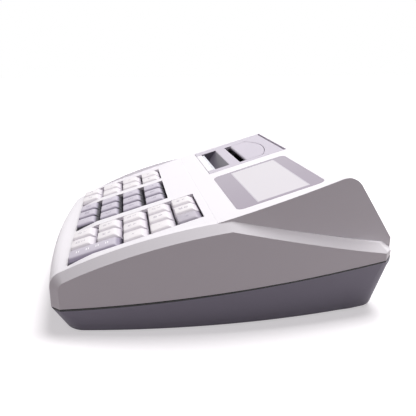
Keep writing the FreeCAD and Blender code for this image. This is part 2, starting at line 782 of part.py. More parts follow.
def key_guide_plate():
    """The plate under the deck that guides every stem, on legs that press the mat to its board."""
    body = deck_body("key_guide_plate")
    bottom = "-(guide_plate_depth + guide_plate_thickness)"
    left, right, front, back = KEYBOARD_BOX
    sheet_outline = new_sketch(body, "plate", height=bottom)
    outline(sheet_outline, [("%s + plate_corner" % left, front), ("%s - plate_corner" % right, front),
                            (right, "%s + plate_corner" % front), (right, back), (left, back),
                            (left, "%s + plate_corner" % front)])
    pad(body, sheet_outline, "guide_plate_thickness")
    legs = new_sketch(body, "legs", height="-dome_mat_depth")
    for x, y in KEYBOARD_POSTS:
        circle(legs, x, y, "keyboard_post_radius")
    pad(body, legs, "dome_mat_depth - guide_plate_depth - guide_plate_thickness / 2")
    half = "(stem_width / 2 + fit_gap)"
    for row in range(5):
        holes = new_sketch(body, "stem_holes_%d" % (row + 1), height="-guide_plate_depth")
        for _, left, at_row, rows_tall in key_layout():
            if at_row == row:
                x = "%s + key_pitch / 2" % left
                y = "(%d + %d / 2) * key_pitch" % (row, rows_tall)
                rectangle(holes, "%s - %s" % (x, half), "%s + %s" % (x, half),
                          "%s - %s" % (y, half), "%s + %s" % (y, half))
        pocket(body, holes, "guide_plate_thickness")
    post_windows(body, "plate_post_windows", "-(guide_plate_depth + guide_plate_thickness / 2)",
                 "-guide_plate_depth")
    drill(body, "plate_screw_holes", KEYBOARD_POSTS, "screw_radius + screw_clearance",
          "-dome_mat_depth", "dome_mat_depth", up=True)
    return body


def keyboard_sheet(label, top, thickness):
    """One flat layer of the keyboard stack, with its post slots and screw holes."""
    body = deck_body(label)
    slab(body, label + "_sheet", KEYBOARD_BOX, "-(%s + %s)" % (top, thickness), thickness)
    post_windows(body, label + "_post_windows", "-(%s + (%s) / 2)" % (top, thickness), "-(%s)" % top)
    drill(body, label + "_screw_holes", KEYBOARD_POSTS, "screw_radius + screw_clearance",
          "-(%s)" % top, "2 * board_thickness")
    return body


BOARD_TOP = "(dome_mat_depth + dome_mat_thickness)"
STACK_BOTTOM = "(%s + board_thickness)" % BOARD_TOP


def cylinder(name, radius, height):
    """An upright cylinder whose size follows the sheet."""
    thing = doc.addObject("Part::Cylinder", name)
    bind(thing, Radius=radius, Height=height)
    return thing


def grouped(label, members):
    """Several equal pieces under one name."""
    group = doc.addObject("Part::Compound", label)
    group.Label = label
    group.Links = members
    doc.recompute()
    return group


def screw(name, shaft_length):
    """A pan-head screw pointing up: head below, shaft above, origin on the head's seat."""
    head = cylinder(name + "_head", "screw_head_radius", "screw_head_thickness")
    bind(head, Placement__Base__z="-screw_head_thickness")
    shaft = cylinder(name + "_shaft", "screw_radius", shaft_length)
    both = doc.addObject("Part::Fuse", name)
    both.Base = head
    both.Tool = shaft
    return both


def case_screws():
    """Six screws from below through the tray's posts into the housing's posts."""
    members = []
    for i, (x, y) in enumerate(CASE_POSTS, 1):
        one = screw("case_screw_%d" % i, "screw_grip + screw_bite")
        bind(one, Placement__Base__x=x, Placement__Base__y=y,
             Placement__Base__z=parting_at(y, "-screw_grip"))
        members.append(one)
    return grouped("case_screws", members)


def keyboard_screws():
    """Four screws from below through the keyboard stack into the short posts under the deck."""
    members = []
    for i, (x, along) in enumerate(KEYBOARD_POSTS, 1):
        one = screw("keyboard_screw_%d" % i, "%s - guide_plate_depth + housing_wall" % STACK_BOTTOM)
        seat_in_deck(one, x, along, "-" + STACK_BOTTOM)
        members.append(one)
    return grouped("keyboard_screws", members)


def rubber_feet():
    """Four rubber feet set into the tray's underside."""
    members = []
    for i, (x, y) in enumerate(FEET, 1):
        foot = cylinder("rubber_foot_%d" % i, "foot_radius", "foot_lift + foot_seat_depth")
        bind(foot, Placement__Base__x=x, Placement__Base__y=y)
        members.append(foot)
    return grouped("rubber_feet", members)


def display_window():
    """The tinted window, flush with the deck, on a shelf round the display's opening."""
    body = deck_body("display_window")
    slab(body, "window_plate", ("window_left", "window_right", "window_front", "window_back"),
         "-window_thickness", "window_thickness")
    dress(body, "Fillet", "window_corners", lambda m, a: abs(a.z) > 0.9, Radius="window_corner")
    return body


def lcd_panel():
    """The glass display module against the underside of the deck, with its board behind it."""
    body = deck_body("lcd_panel")
    slab(body, "lcd_glass", ("window_left + 1", "window_right - 1", "window_front + 2",
                             "window_back - 2"),
         "-(housing_wall + lcd_thickness)", "lcd_thickness")
    slab(body, "lcd_raised_glass",
         ("window_left + window_shelf_side + fit_gap", "window_right - window_shelf_side - fit_gap",
          "window_front + window_shelf_end + fit_gap", "window_back - window_shelf_end - fit_gap"),
         "-(housing_wall + lcd_thickness / 2)", "housing_wall - window_thickness + lcd_thickness / 2")
    slab(body, "lcd_board", ("window_left + 3", "window_right - 3", "window_front + 4",
                             "window_back - 4"),
         "-(housing_wall + lcd_thickness + board_thickness)", "2 * board_thickness")
    return body


def paper_cover():
    """The hinged cover: a plate with a tear recess, a flap opening, roller arms and knuckles."""
    body = deck_body("paper_cover")
    slab(body, "cover_plate", ("cover_left", "cover_right", "cover_front", "cover_back"),
         "-cover_thickness", "cover_thickness")
    profile(body, "recess_box",
            [("recess_front", "-cover_thickness / 2"), ("recess_back + 3.1", "-cover_thickness / 2"),
             ("recess_back + 3.1", "-cover_thickness"), ("slot_back + 2.8", "-slot_depth - 2"),
             ("recess_front", "-slot_depth - 2")],
            "recess_left - recess_wall", "recess_right + recess_wall")
    arm_front = "platen_at - 3.4"
    arm_back = "platen_at + 3.8"
    profile(body, "roller_arms",
            [(arm_front, "-cover_thickness / 2"), ("recess_back + 3.1", "-cover_thickness / 2"),
             (arm_back, "-platen_depth - 3.4"), (arm_front, "-platen_depth - 3.4")],
            "recess_left - recess_wall", "recess_right + recess_wall")
    room_top = "-(platen_depth - platen_radius - 2 * fit_gap)"
    profile(body, "arm_space",
            [(arm_front + " - 1", room_top), (arm_back + " + 6", room_top),
             (arm_back + " + 6", "-platen_depth - 4"), (arm_front + " - 1", "-platen_depth - 4")],
            "recess_left", "recess_right", cut=True)
    profile(body, "tear_recess",
            [("recess_front", "1"), ("recess_front", "-slot_depth - 3"),
             ("slot_back", "-slot_depth - 3"), ("slot_back", "-slot_depth"), ("recess_back", "0"),
             ("recess_back", "1")],
            "recess_left", "recess_right", cut=True)
    rod(body, "platen_bore", "platen_at", "-platen_depth", "platen_shaft_radius + hinge_running_gap",
        "recess_left - 2 * recess_wall", "recess_right + 2 * recess_wall", cut=True)
    knuckle_in = "hinge_knuckle_length"
    for side, left in (("left", "cover_left"), ("right", "cover_right - " + knuckle_in)):
        rod(body, side + "_knuckle", HINGE_AT, "-hinge_depth", "hinge_knuckle_radius",
            left, "%s + %s" % (left, knuckle_in))
    rod(body, "hinge_bore", HINGE_AT, "-hinge_depth", "hinge_pin_radius + hinge_running_gap",
        "cover_left - 1", "cover_right + 1", cut=True)
    profile(body, "rear_bevel",
            [("cover_back - cover_rear_chamfer", "0.1"), ("cover_back + 0.1", "0.1"),
             ("cover_back + 0.1", "-cover_rear_chamfer")],
            "cover_left - 1", "cover_right + 1", cut=True)
    ears = new_sketch(body, "flap_bearings", height="-(flap_hinge_depth + flap_pin_radius + 1)")
    bearing_front = "flap_hinge_at - flap_pin_radius - 1"
    bearing_back = "flap_hinge_at + flap_pin_radius + 1"
    rectangle(ears, "flap_left - slide_gap - 4", "flap_left - slide_gap", bearing_front, bearing_back)
    rectangle(ears, "flap_right + slide_gap", "flap_right + slide_gap + 4", bearing_front, bearing_back)
    pad(body, ears, "flap_hinge_depth + flap_pin_radius + 1 - cover_thickness / 2")
    opening = new_sketch(body, "flap_opening", height="1")
    outline(opening, [("flap_left - slide_gap", "finger_slot_front"),
                      ("flap_right + slide_gap", "finger_slot_front"),
                      ("flap_right + slide_gap", "flap_side_back + slide_gap", "flap_bulge_radius"),
                      ("flap_left - slide_gap", "flap_side_back + slide_gap")])
    pocket(body, opening, "cover_thickness + 1")
    rod(body, "flap_bore", "flap_hinge_at", "-flap_hinge_depth", "flap_pin_radius + hinge_running_gap",
        "flap_left - slide_gap - 4", "flap_right + slide_gap + 4", cut=True)
    return body


def release_flap():
    """The inset flap behind the finger slot: its front edge lifts, its pins turn in the cover."""
    body = deck_body("release_flap")
    plate = new_sketch(body, "flap_plate", height="-flap_thickness")
    outline(plate, [("flap_left", "flap_front"), ("flap_right", "flap_front"),
                    ("flap_right", "flap_side_back", "flap_bulge_radius"),
                    ("flap_left", "flap_side_back")])
    pad(body, plate, "flap_thickness")
    front = number("flap_front")
    dress(body, "Fillet", "flap_lip", lambda m, a: abs(m.y - front) < 0.01 and abs(m.z) < 0.01,
          Radius="0.8 * flap_thickness")
    back = number("flap_side_back")
    dress(body, "Fillet", "flap_rear_corners", lambda m, a: abs(a.z) > 0.9 and abs(m.y - back) < 0.1,
          Radius="2 * flap_thickness")
    for side, left in (("left", "flap_left"), ("right", "flap_right - 2")):
        profile(body, side + "_flap_ear",
                [("flap_hinge_at - 2.2", "-flap_thickness / 2"), ("flap_hinge_at + 2.2", "-flap_thickness / 2"),
                 ("flap_hinge_at + 2.2", "-flap_hinge_depth"), ("flap_hinge_at - 2.2", "-flap_hinge_depth")],
                left, left + " + 2")
        rod(body, side + "_flap_hub", "flap_hinge_at", "-flap_hinge_depth", "2.2", left, left + " + 2")
    rod(body, "left_flap_pin", "flap_hinge_at", "-flap_hinge_depth", "flap_pin_radius",
        "flap_left - slide_gap - 3.5", "flap_left + 1")
    rod(body, "right_flap_pin", "flap_hinge_at", "-flap_hinge_depth", "flap_pin_radius",
        "flap_right - 1", "flap_right + slide_gap + 3.5")
    return body


def cover_hinge_pin():
    """The steel pin through the housing's lugs and the cover's knuckles."""
    body = deck_body("cover_hinge_pin")
    rod(body, "hinge_rod", HINGE_AT, "-hinge_depth", "hinge_pin_radius",
        "cover_left - cover_gap - 1.2", "cover_right + cover_gap + 1.2")
    return body


def platen_roller():
    """The rubber sleeve that drives the paper."""
    body = deck_body("platen_roller")
    rod(body, "rubber", "platen_at", "-platen_depth", "platen_radius", "bin_left", "bin_right")
    rod(body, "rubber_bore", "platen_at", "-platen_depth", "platen_shaft_radius",
        "bin_left - 1", "bin_right + 1", cut=True)
    return body


def platen_shaft():
    """The steel shaft of the roller, with its ends in the cover's arms."""
    body = deck_body("platen_shaft")
    rod(body, "shaft", "platen_at", "-platen_depth", "platen_shaft_radius",
        "recess_left - recess_wall - 2", "recess_right + recess_wall + 4")
    return body


def tear_bar():
    """The serrated steel bar in front of the paper slot, with a foot on the printer's frame."""
    body = deck_body("tear_bar")
    back = "tear_bar_front + tear_bar_thickness"
    left = "bin_left"
    right = "bin_right"
    profile(body, "tear_foot", [("frame_front + frame_sheet", "-14"), (back, "-14"),
                                (back, "-tear_bar_top"), ("tear_bar_front", "-tear_bar_top"),
                                ("tear_bar_front", "-12.4"), ("frame_front + frame_sheet", "-12.4")],
            left, right)
    plane = new_sketch(body, "teeth", "XZ_Plane", "-(%s)" % back)
    count = int((number(right) - number(left)) / number("tear_tooth_pitch"))
    points = []
    for i in range(count):
        at = "%s + %d * tear_tooth_pitch" % (left, i)
        points.append((at, "-tear_bar_top"))
        points.append((at + " + tear_tooth_pitch / 2", "-tear_bar_top - tear_tooth_depth"))
    points.append(("%s + %d * tear_tooth_pitch" % (left, count), "-tear_bar_top"))
    points.append(("%s + %d * tear_tooth_pitch" % (left, count), "1"))
    points.append((left, "1"))
    outline(plane, points)
    pocket(body, plane)
    return body


def printer_frame():
    """The folded sheet frame that hangs under the deck and carries head, tear bar and motor."""
    body = deck_body("printer_frame")
    sheet_back = "frame_front + frame_sheet"
    tab_bottom = "-housing_wall - frame_tab_thickness"
    step_top = "-housing_wall - frame_tab_drop"
    floor_bottom = "-frame_floor_depth - frame_sheet"
    left = "cover_left + 4"
    right = "cover_right - 1"
    profile(body, "frame_fold",
            [("frame_tab_front", tab_bottom), ("frame_tab_front", "-housing_wall"),
             ("frame_tab_back", "-housing_wall"), ("frame_tab_back", step_top), (sheet_back, step_top),
             (sheet_back, "-frame_floor_depth"), ("frame_floor_back", "-frame_floor_depth"),
             ("frame_floor_back", floor_bottom), ("frame_front", floor_bottom),
             ("frame_front", step_top + " - frame_sheet"),
             ("frame_tab_back - frame_sheet", step_top + " - frame_sheet"),
             ("frame_tab_back - frame_sheet", tab_bottom)],
            left, right)
    for side, at in (("left", left), ("right", right + " - frame_sheet")):
        profile(body, side + "_cheek",
                [("frame_front", floor_bottom), ("frame_floor_back", floor_bottom),
                 ("frame_floor_back", "-cheek_top"), ("frame_front", "-cheek_top")],
                at, at + " + frame_sheet")
    return body


def thermal_head():
    """The print head on its heat sink, in front of the roller."""
    body = deck_body("thermal_head")
    bottom = "-(head_top + head_height)"
    slab(body, "heat_sink", ("bin_left", "bin_right", "frame_front + frame_sheet", HEAD_FACE),
         bottom, "head_height")
    return body


def stepper_motor():
    """The motor that turns the roller, flat on the frame's floor."""
    body = deck_body("stepper_motor")
    can_end = "cover_right - motor_inset"
    front, back = "motor_at - flange_reach", "motor_at + flange_reach"
    rod(body, "motor_can", "motor_at", "-motor_depth", "motor_radius", can_end + " - motor_length", can_end)
    profile(body, "motor_flange", [(front, "-frame_floor_depth"), (back, "-frame_floor_depth"),
                                   (back, "-flange_top"), (front, "-flange_top")],
            can_end, can_end + " + flange_thickness")
    rod(body, "motor_shaft", "motor_at", "-motor_depth", "motor_shaft_radius",
        can_end + " + flange_thickness / 2", "cover_right - 4")
    return body


def paper_bin():
    """The trough for the paper roll, open at the top, on a tab under the strip beside the cover."""
    body = deck_body("paper_bin")
    outer = "(bin_inner_radius + bin_wall)"
    rod(body, "bin_drum", "roll_at", "-roll_depth", outer, "bin_left - bin_wall", "bin_right + bin_wall")
    rod(body, "bin_bore", "roll_at", "-roll_depth", "bin_inner_radius", "bin_left", "bin_right", cut=True)
    profile(body, "bin_mouth", [("roll_at - 40", "-9"), ("roll_at + 40", "-9"), ("roll_at + 40", "20"),
                                ("roll_at - 40", "20")],
            "bin_left - 10", "bin_right + 10", cut=True)
    return body


def main_board():
    """The main circuit board on the tray's short posts, with its tall parts."""
    body = new_body("main_board")
    slab(body, "board", ("-board_half_width", "board_half_width", "board_front", "board_back"),
         "board_height", "board_thickness")
    on_board = "board_height + board_thickness / 2"
    slab(body, "processor", ("processor_left", "processor_left + processor_width",
                             "board_front + 16", "board_front + 36"), on_board, "processor_height")
    slab(body, "memory", ("memory_left", "memory_left + memory_width",
                          "board_front + 18", "board_front + 34"), on_board, "memory_height")
    slab(body, "ribbon_connector", ("connector_left", "connector_left + connector_width",
                                    "board_front + 2", "board_front + 8"), on_board, "connector_height")
    return body


def battery_pack():
    """The rechargeable pack on the tray's floor."""
    body = new_body("battery_pack")
    slab(body, "pack", ("battery_left", "battery_right", "battery_front", "battery_back"),
         "foot_lift + tray_wall", "battery_height")
    dress(body, "Fillet", "pack_edges", lambda m, a: abs(a.z) > 0.9, Radius="3")
    return body


outside = housing_form("housing_outside", "0")
housing_openings(outside)
hollow = housing_form("housing_hollow", "housing_wall")
housing_posts(hollow)
top_housing = shell("top_housing", outside, hollow)

tray_outside = tray_form("tray_outside", "0")
tray_openings(tray_outside)
tray_hollow = tray_form("tray_hollow", "tray_wall")
tray_posts(tray_hollow)
base_tray = shell("base_tray", tray_outside, tray_hollow)

pieces = [top_housing, base_tray]
for name, left, row, rows_tall in key_layout():
    pieces.append(keycap(name, left, row, rows_tall))
pieces.append(key_guide_plate())
pieces.append(keyboard_sheet("dome_mat", "dome_mat_depth", "dome_mat_thickness"))
pieces.append(keyboard_sheet("keyboard_board", BOARD_TOP, "board_thickness"))
for make in (keyboard_screws, case_screws, rubber_feet, display_window, lcd_panel, paper_cover,
             release_flap, cover_hinge_pin, platen_roller, platen_shaft, tear_bar, printer_frame,
             thermal_head, stepper_motor, paper_bin, main_board, battery_pack):
    pieces.append(make())
doc.recompute()

for thing in doc.Objects:
    if "Invalid" in thing.State or "Error" in thing.State:
        raise RuntimeError("%s did not build: %s" % (thing.Label, thing.State))
os.makedirs("parts", exist_ok=True)
for piece in pieces:
    if piece.Shape.isNull() or not piece.Shape.isValid():
        raise RuntimeError("%s has no valid shape" % piece.Label)
for piece in pieces:
    piece.Shape.exportStep("parts/%s.step" % piece.Label)
    print("%-18s %d solids %9.1f mm3" % (piece.Label, len(piece.Shape.Solids), piece.Shape.Volume))
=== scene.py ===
"""Looks of a portable ticket register: plastics, printed keys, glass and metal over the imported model."""
import json
import math

import bmesh
import bpy
import numpy as np
from mathutils import Matrix, Vector


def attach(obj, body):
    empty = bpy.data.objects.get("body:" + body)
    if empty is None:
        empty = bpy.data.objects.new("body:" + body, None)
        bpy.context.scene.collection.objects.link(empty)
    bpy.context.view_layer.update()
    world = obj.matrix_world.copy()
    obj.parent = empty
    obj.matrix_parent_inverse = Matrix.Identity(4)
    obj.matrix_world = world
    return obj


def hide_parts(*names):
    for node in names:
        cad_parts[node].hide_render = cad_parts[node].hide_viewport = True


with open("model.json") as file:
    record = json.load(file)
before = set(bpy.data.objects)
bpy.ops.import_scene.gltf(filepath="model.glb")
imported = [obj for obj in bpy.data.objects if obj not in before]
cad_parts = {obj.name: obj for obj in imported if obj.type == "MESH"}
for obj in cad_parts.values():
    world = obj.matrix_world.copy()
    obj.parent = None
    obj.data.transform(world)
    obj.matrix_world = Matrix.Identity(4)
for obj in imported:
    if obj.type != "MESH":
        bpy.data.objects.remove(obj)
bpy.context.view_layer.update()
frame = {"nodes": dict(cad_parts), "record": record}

SLOTS = {part["node"]: part["material_slot"] for part in frame["record"]["subparts"]}

# All lengths are metres. The keypad deck: its slope, and the front of its middle line.
DECK_ANGLE = math.radians(16.2)
DECK_FRONT = Vector((0.0, -0.096, 0.044))

# The keys: heights out of the deck, sizes across it, and the left edge of each block.
KEY_TOP = 0.0009
KEY_SKIRT = -0.0035
STEM_REACH = -0.0095
STEM_HALF = 0.0023
KEY_MARGIN = 0.0004
KEY_LEAN = -0.0014
PITCH = 0.0175
BLOCK_LEFTS = {"right": 0.0262, "middle": -0.0352, "left": -0.0789}

# Areas of the deck, as left, right, front and rear.
WINDOW_PANE = (0.0084, 0.0846, 0.1205, 0.1545)
PANE_RIM = 0.0008
DISPLAY_CELLS = (0.012, 0.081, 0.1225, 0.1525)
TEAR_RECESS = (-0.0797, -0.0168, 0.1114, 0.1256)

# The white strip of the cover before the tear recess, and the dark lines at its two ends.
STRIP_LEFT, STRIP_RIGHT, STRIP_REAR = -0.0789, -0.0176, 0.11155
STRIP_LINE = 0.0006

# The tray's brim at the middle of its length, how it rises to the rear, and the width of the painted shade
# line below it.
BRIM_HEIGHT = 0.0277
BRIM_RISE = math.tan(math.radians(6.1))
GAP_SHADE_WIDTH = 0.0012

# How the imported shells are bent: the nose forwards, the rear end and the tray's foot back.
NOSE_BOW, NOSE_HALF, NOSE_EASE = 0.0054, 0.0855, 0.0065
TAIL_STRETCH, CREST, CREST_TO_REAR = 0.0023, 0.0777, 0.0281
FOOT_STRETCH, FOOT_FROM, FOOT_EASE = 0.011, 0.0765, 0.0125
TRAY_FLOOR, TRAY_DEPTH = 0.0014, 0.0326
COVER_STRETCH, COVER_REAR, COVER_SKIN = 0.0012, 0.1676, -0.0025

# The tray's rear screw wells: their place on either side, radius and closed end.
WELL_X, WELL_Y, WELL_RADIUS, WELL_TOP = 0.088, 0.084, 0.00326, 0.0275

# Where the shells are cut into strips before they are bent, by axis.
STRIP_CUTS = ((0, np.linspace(-0.084, 0.084, 25)),
              (1, np.linspace(-0.1035, -0.0905, 9)),
              (1, np.linspace(0.0765, 0.0890, 8)))


def srgb(red, green, blue):
    """A colour given as 0 to 255, as the linear colour that the shader wants."""
    def linear(value):
        value = value / 255
        return value / 12.92 if value <= 0.04045 else ((value + 0.055) / 1.055) ** 2.4
    return (linear(red), linear(green), linear(blue), 1.0)


def scaled(colour, factor, lift=0.0):
    """A colour made darker or paler."""
    return tuple(min(1.0, c * factor + lift) for c in colour[:3]) + (1.0,)


class Wire:
    """One output socket of a finish; arithmetic on it adds Math nodes."""

    def __init__(self, finish, socket):
        self.finish = finish
        self.socket = socket

    def maths(self, operation, *values):
        return self.finish.node("Math", {"operation": operation}, dict(enumerate(values)))

    def __add__(self, other):
        return self.maths("ADD", self, other)

    __radd__ = __add__

    def __sub__(self, other):
        return self.maths("SUBTRACT", self, other)

    def __rsub__(self, other):
        return self.maths("SUBTRACT", other, self)

    def __mul__(self, other):
        return self.maths("MULTIPLY", self, other)

    __rmul__ = __mul__

    def __gt__(self, other):
        return self.maths("GREATER_THAN", self, other)

    def __lt__(self, other):
        return self.maths("LESS_THAN", self, other)

    def __mod__(self, other):
        return self.maths("FLOORED_MODULO", self, other)

    def root(self):
        return self.maths("SQRT", self)

    def least(self, other):
        return self.maths("MINIMUM", self, other)

    def most(self, other):
        return self.maths("MAXIMUM", self, other)

    def ramp(self, start, length):
        """0 up to start, 1 from start + length, and straight between them."""
        return ((self - start) * (1 / length)).most(0.0).least(1.0)

    def within(self, low, high):
        """1 between two limits and 0 outside them."""
        return (self > low) * (self < high)


class Finish:
    """A material under construction, with one method that makes any node."""

    def __init__(self, name, owners=bpy.data.materials, shader="Principled BSDF"):
        self.material = owners.new(name)
        self.material.use_nodes = True
        self.tree = self.material.node_tree
        self.shader = self.tree.nodes[shader]

    def node(self, kind, settings=None, inputs=None, output=0):
        made = self.tree.nodes.new("ShaderNode" + kind)
        for name, value in (settings or {}).items():
            setattr(made, name, value)
        for key, value in (inputs or {}).items():
            self.put(made.inputs[key], value)
        return Wire(self, made.outputs[output])

    def put(self, socket, value):
        if isinstance(value, Wire):
            self.tree.links.new(value.socket, socket)
        else:
            socket.default_value = value

    def place(self):
        """Where a point is on the object, in metres."""
        return self.node("TexCoord", output="Object")

    def axes(self):
        """The three coordinates of a point, each on its own wire."""
        split = self.node("SeparateXYZ", inputs={"Vector": self.place()}).socket.node
        return [Wire(self, socket) for socket in split.outputs]

    def deck(self):
        """A point as across, along and out of the keypad deck."""
        x, y, z = self.axes()
        back, up = y - DECK_FRONT.y, z - DECK_FRONT.z
        cosine, sine = math.cos(DECK_ANGLE), math.sin(DECK_ANGLE)
        return x, back * cosine + up * sine, up * cosine - back * sine

    def noise(self, scale, detail, where=None):
        return self.node("TexNoise", inputs={
            "Vector": where or self.place(), "Scale": scale, "Detail": detail, "Roughness": 0.5})

    def seen(self):
        """1 for rays that show a thing to the camera, in a mirror or through glass; 0 for its light."""
        camera, mirror, glass = [self.node("LightPath", output=name) for name in (
            "Is Camera Ray", "Is Glossy Ray", "Is Transmission Ray")]
        return (camera + mirror + glass).least(1.0)

    def between(self, first, second, amount):
        """The colour `amount` of the way from first to second."""
        return self.node("Mix", {"data_type": "RGBA"}, {0: amount, 6: first, 7: second}, output=2)

    def bump(self, height, distance):
        return self.node("Bump", inputs={"Height": height, "Distance": distance, "Strength": 1.0})

    def surface(self, **inputs):
        for name, value in inputs.items():
            self.put(self.shader.inputs[name.replace("_", " ")], value)
        return self.material


def inside(across, along, area, inset=0.0):
    """1 inside an area of the deck and 0 outside it."""
    left, right, front, rear = area
    return across.within(left + inset, right - inset) * along.within(front + inset, rear - inset)


def moulded(name, colour, roughness, grain, depth, drift, coat=0.0):
    """Moulded plastic: spark-eroded grain, with faint clouds in its colour and its gloss."""
    finish = Finish(name)
    cloud = finish.noise(34, 3)
    return finish.surface(
        Base_Color=finish.between(scaled(colour, drift), colour, cloud),
        Roughness=roughness + 0.1 * (cloud - 0.5),
        Coat_Weight=coat,
        Normal=finish.bump(finish.noise(grain, 1), depth))


def moulded_key(name, top, slope, foot, dim=0.0031):
    """A keycap: its top face, its slopes, and its foot, fully dark from `dim` below the top. The darker
    slopes and the dark foot are painted shade, for the shade down the sides and in the gaps between keys; on
    the number keys the dark foot is also their dark body.
    """
    finish = Finish(name)
    out = finish.deck()[2]
    # painted shade: below the top the cap darkens to the slope colour, and from `dim` below it to the foot
    # colour
    risen = out.ramp(KEY_TOP - 0.0012, 0.0010)
    clear = out.ramp(KEY_TOP - dim, 0.0010)
    cloud = finish.noise(60, 2)
    return finish.surface(
        Base_Color=finish.between(finish.between(foot, slope, clear), top, risen),
        Roughness=0.4 + 0.08 * (cloud - 0.5),
        Normal=finish.bump(finish.noise(3000, 1), 0.000015))


def window_panel(name):
    """A clear gloss panel whose back is printed grey-violet round the display."""
    finish = Finish(name)
    across, along, _ = finish.deck()
    clear = inside(across, along, WINDOW_PANE)
    inner = inside(across, along, WINDOW_PANE, PANE_RIM)
    border = finish.between(srgb(147, 135, 152), srgb(154, 143, 160), finish.noise(24, 2))
    pane = finish.between(srgb(196, 190, 201), srgb(228, 223, 230), inner)
    return finish.surface(
        Base_Color=finish.between(border, pane, clear),
        Alpha=1.0 - 0.12 * inner,
        Roughness=0.1 + 0.05 * finish.noise(90, 2),
        Coat_Weight=0.35,
        Normal=finish.bump(finish.noise(70, 1), 0.00001))


def display_glass(name):
    """Liquid crystal display: pale silver back with the faint square cells of its dot matrix."""
    finish = Finish(name)
    across, along, _ = finish.deck()
    cell = 0.0006
    line = 0.12 * cell
    cells = ((across % cell) > line) * ((along % cell) > line)
    lit = inside(across, along, DISPLAY_CELLS)
    fade = finish.noise(18, 1)
    face = finish.between(srgb(228, 223, 230), srgb(240, 236, 242), fade)
    return finish.surface(
        Base_Color=finish.between(face, srgb(214, 210, 217), (1 - cells) * lit * 0.5),
        Roughness=0.22 + 0.05 * fade,
        Coat_Weight=0.4,
        Normal=finish.bump(cells * lit, 0.000004))


def tray_moulding(name):
    """The tray's blue-grey plastic, with a near-black band of painted shade just under the parting line, for
    the shadow in the gap between tray and housing.
    """
    finish = Finish(name)
    _, y, z = finish.axes()
    # painted shade: a near-black band just under the parting line, standing for the shadow in the gap
    under = BRIM_HEIGHT + y * BRIM_RISE - z
    gap_shade = (under < GAP_SHADE_WIDTH) * (under > 0.0)
    cloud = finish.noise(34, 3)
    skin = finish.between(srgb(140, 137, 154), srgb(146, 143, 159), cloud)
    return finish.surface(
        Base_Color=finish.between(skin, srgb(20, 19, 23), gap_shade),
        Roughness=0.5 + 0.1 * (cloud - 0.5),
        Normal=finish.bump(finish.noise(2000, 1), 0.00003))


def cover_moulding(name):
    """The paper cover: lavender plastic, a white strip before the tear recess, and dark slopes inside it,
    which are painted shade.
    """
    finish = Finish(name)
    across, along, out = finish.deck()
    cloud = finish.noise(34, 3)
    skin = finish.between(srgb(192, 185, 198), srgb(198, 192, 204), cloud)
    strip = across.within(STRIP_LEFT, STRIP_RIGHT) * (along < STRIP_REAR)
    lines = across.within(STRIP_LEFT - STRIP_LINE, STRIP_LEFT).most(
        across.within(STRIP_RIGHT, STRIP_RIGHT + STRIP_LINE))
    edge = lines * (along < STRIP_REAR + 0.00005)
    # painted shade: the sunk faces of the tear recess are coloured dark grey for the shade inside it
    sunk = inside(across, along, TEAR_RECESS) * (out < -0.0004)
    tinted = finish.between(skin, WHITE, strip)
    lined = finish.between(tinted, srgb(96, 92, 104), edge)
    return finish.surface(
        Base_Color=finish.between(lined, srgb(104, 99, 112), sunk),
        Roughness=0.38 + 0.1 * (cloud - 0.5),
        Normal=finish.bump(finish.noise(2600, 1), 0.00002))


def drawn_metal(name, colour, roughness, spread):
    """Sheet or rod metal with the fine lines left by rolling or grinding; `spread` sets them by axis."""
    finish = Finish(name)
    stretched = finish.node("VectorMath", {"operation": "MULTIPLY"}, {0: finish.place(), 1: spread})
    lines = finish.noise(1.0, 2, stretched)
    return finish.surface(
        Base_Color=finish.between(scaled(colour, 0.86), colour, lines),
        Metallic=1.0,
        Roughness=roughness + 0.14 * (lines - 0.5),
        Normal=finish.bump(lines, 0.000006))


def ground_rubber(name, colour, roughness, grain):
    """Ground or moulded rubber: dull, with a fine grit and dusty patches."""
    finish = Finish(name)
    dust = finish.noise(120, 3)
    return finish.surface(
        Base_Color=finish.between(colour, scaled(colour, 1.7, 0.01), dust * 0.5),
        Roughness=roughness + 0.1 * (dust - 0.5),
        Normal=finish.bump(finish.noise(grain, 2), 0.00004))


def circuit_sheet(name):
    """Glass-fibre board: solder resist over a weave, with a lattice of copper tracks showing through."""
    finish = Finish(name)
    x, y, _ = finish.axes()
    lattice = ((x % 0.0042) < 0.0006).most((y % 0.0036) < 0.0005)
    track = lattice * (finish.noise(110, 0) > 0.5)
    weave = finish.node("TexWave", {"wave_type": "BANDS"}, {
        "Vector": finish.place(), "Scale": 420.0, "Distortion": 0.6})
    resist = finish.between(srgb(22, 84, 52), srgb(30, 104, 64), weave)
    return finish.surface(
        Base_Color=finish.between(resist, srgb(62, 142, 86), track),
        Roughness=0.34 + 0.12 * weave,
        Coat_Weight=0.3,
        Normal=finish.bump(track + 0.2 * weave, 0.00003))


def printed_ink(name, colour):
    """Pad-printed ink: flat, slightly uneven at a fine scale."""
    finish = Finish(name)
    wear = finish.noise(900, 2)
    return finish.surface(
        Base_Color=finish.between(colour, scaled(colour, 1.12, 0.01), wear),
        Roughness=0.5 + 0.1 * wear,
        Normal=finish.bump(wear, 0.000004))


